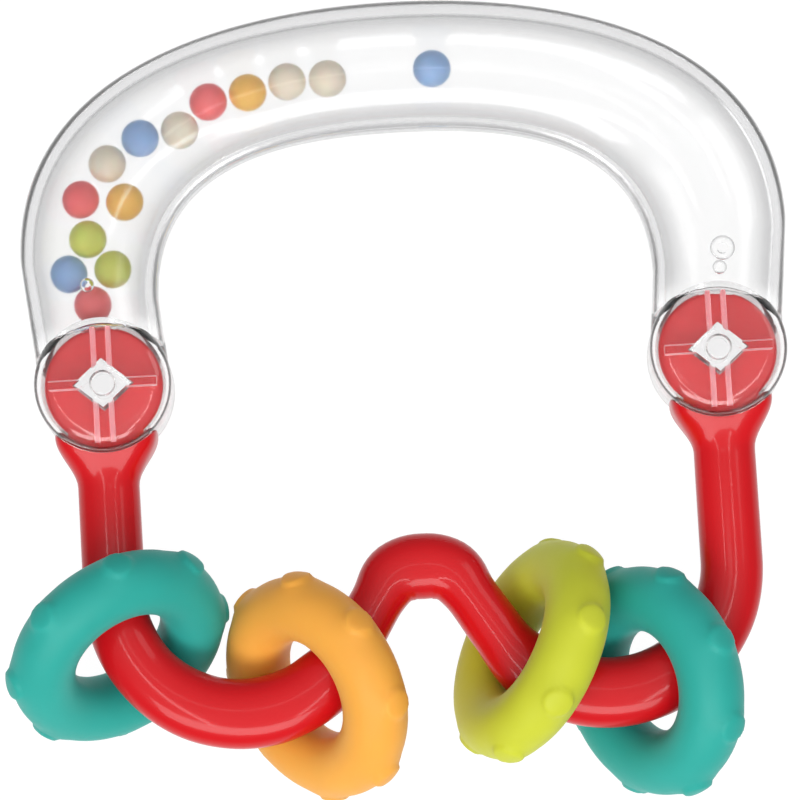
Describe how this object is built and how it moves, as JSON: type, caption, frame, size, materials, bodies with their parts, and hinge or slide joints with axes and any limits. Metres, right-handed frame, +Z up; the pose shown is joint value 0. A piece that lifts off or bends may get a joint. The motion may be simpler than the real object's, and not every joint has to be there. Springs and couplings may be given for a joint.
{
  "type": "baby rattle",
  "caption": "Hand rattle: a clear hollow arch of loose coloured beads closed by a wavy red bar with soft nubbed teething rings threaded on it.",
  "frame": {"origin": "middle of the bottom of the toy's box, on the table it lies on", "axes": "+Y from the rings to the crown of the arch, +X to the right seen from above, +Z up through the toy's thickness; the toy's own plane leans 4.6 degrees about X, with the ring end raised by the rings"},
  "size_m": [0.1376, 0.139, 0.0382],
  "materials": {
    "clear_plastic": "clear polished, see-through",
    "red_plastic": "opaque high gloss",
    "ring_teal": "satin translucent silicone",
    "ring_orange": "satin translucent silicone",
    "ring_lime": "satin translucent silicone",
    "bead_red": "smooth satin",
    "bead_blue": "smooth satin",
    "bead_lime": "smooth satin",
    "bead_orange": "smooth satin",
    "bead_cream": "smooth satin"
  },
  "bodies": {
    "arch_and_bar": {"arch_front_shell": "clear_plastic", "arch_rear_shell": "clear_plastic", "teether_bar": "red_plastic"},
    "ring_teal_left": {"ring_teal_left": "ring_teal"},
    "ring_orange": {"ring_orange": "ring_orange"},
    "ring_lime": {"ring_lime": "ring_lime"},
    "ring_teal_right": {"ring_teal_right": "ring_teal"},
    "bead_01_red": {"bead_01_red": "bead_red"},
    "bead_02_blue": {"bead_02_blue": "bead_blue"},
    "bead_03_lime": {"bead_03_lime": "bead_lime"},
    "bead_04_lime": {"bead_04_lime": "bead_lime"},
    "bead_05_red": {"bead_05_red": "bead_red"},
    "bead_06_orange": {"bead_06_orange": "bead_orange"},
    "bead_07_cream": {"bead_07_cream": "bead_cream"},
    "bead_08_blue": {"bead_08_blue": "bead_blue"},
    "bead_09_cream": {"bead_09_cream": "bead_cream"},
    "bead_10_red": {"bead_10_red": "bead_red"},
    "bead_11_orange": {"bead_11_orange": "bead_orange"},
    "bead_12_cream": {"bead_12_cream": "bead_cream"},
    "bead_13_cream": {"bead_13_cream": "bead_cream"},
    "bead_14_blue": {"bead_14_blue": "bead_blue"}
  },
  "joints": [
    {"name": "ring_teal_left_slide_round_bend", "type": "hinge", "parent": "arch_and_bar", "child": "ring_teal_left", "pos_m": [-0.02815, -0.02976, 0.01674], "axis": [0, 0.0802, 0.9968], "range_deg": [-38, 0]},
    {"name": "ring_orange_slide_round_bend", "type": "hinge", "parent": "arch_and_bar", "child": "ring_orange", "pos_m": [-0.02815, -0.02976, 0.01674], "axis": [0, 0.0802, 0.9968], "range_deg": [0, 12]},
    {"name": "ring_lime_slide_round_bend", "type": "hinge", "parent": "arch_and_bar", "child": "ring_lime", "pos_m": [0.03425, -0.02976, 0.01674], "axis": [0, 0.0802, 0.9968], "range_deg": [-10, 0]},
    {"name": "ring_teal_right_slide_round_bend", "type": "hinge", "parent": "arch_and_bar", "child": "ring_teal_right", "pos_m": [0.03425, -0.02976, 0.01674], "axis": [0, 0.0802, 0.9968], "range_deg": [0, 72]},
    {"name": "bead_01_drop", "type": "slide", "parent": "arch_and_bar", "child": "bead_01_red", "axis": [0, 0.0802, 0.9968], "range_m": [0, 0.0064]},
    {"name": "bead_02_drop", "type": "slide", "parent": "arch_and_bar", "child": "bead_02_blue", "axis": [0, 0.0802, 0.9968], "range_m": [0, 0.0064]},
    {"name": "bead_03_drop", "type": "slide", "parent": "arch_and_bar", "child": "bead_03_lime", "axis": [0, 0.0802, 0.9968], "range_m": [0, 0.0064]},
    {"name": "bead_04_drop", "type": "slide", "parent": "arch_and_bar", "child": "bead_04_lime", "axis": [0, 0.0802, 0.9968], "range_m": [0, 0.0064]},
    {"name": "bead_05_drop", "type": "slide", "parent": "arch_and_bar", "child": "bead_05_red", "axis": [0, 0.0802, 0.9968], "range_m": [0, 0.0064]},
    {"name": "bead_06_drop", "type": "slide", "parent": "arch_and_bar", "child": "bead_06_orange", "axis": [0, 0.0802, 0.9968], "range_m": [0, 0.0064]},
    {"name": "bead_07_drop", "type": "slide", "parent": "arch_and_bar", "child": "bead_07_cream", "axis": [0, 0.0802, 0.9968], "range_m": [0, 0.0064]},
    {"name": "bead_08_drop", "type": "slide", "parent": "arch_and_bar", "child": "bead_08_blue", "axis": [0, 0.0802, 0.9968], "range_m": [0, 0.0064]},
    {"name": "bead_09_drop", "type": "slide", "parent": "arch_and_bar", "child": "bead_09_cream", "axis": [0, 0.0802, 0.9968], "range_m": [0, 0.0064]},
    {"name": "bead_10_drop", "type": "slide", "parent": "arch_and_bar", "child": "bead_10_red", "axis": [0, 0.0802, 0.9968], "range_m": [0, 0.0064]},
    {"name": "bead_11_drop", "type": "slide", "parent": "arch_and_bar", "child": "bead_11_orange", "axis": [0, 0.0802, 0.9968], "range_m": [0, 0.0064]},
    {"name": "bead_12_drop", "type": "slide", "parent": "arch_and_bar", "child": "bead_12_cream", "axis": [0, 0.0802, 0.9968], "range_m": [0, 0.0064]},
    {"name": "bead_13_drop", "type": "slide", "parent": "arch_and_bar", "child": "bead_13_cream", "axis": [0, 0.0802, 0.9968], "range_m": [0, 0.0064]},
    {"name": "bead_14_roll_along_arch", "type": "hinge", "parent": "arch_and_bar", "child": "bead_14_blue", "pos_m": [0.00305, -0.02612, 0.01645], "axis": [0, 0.0802, 0.9968], "range_deg": [-34, 7]}
  ]
}
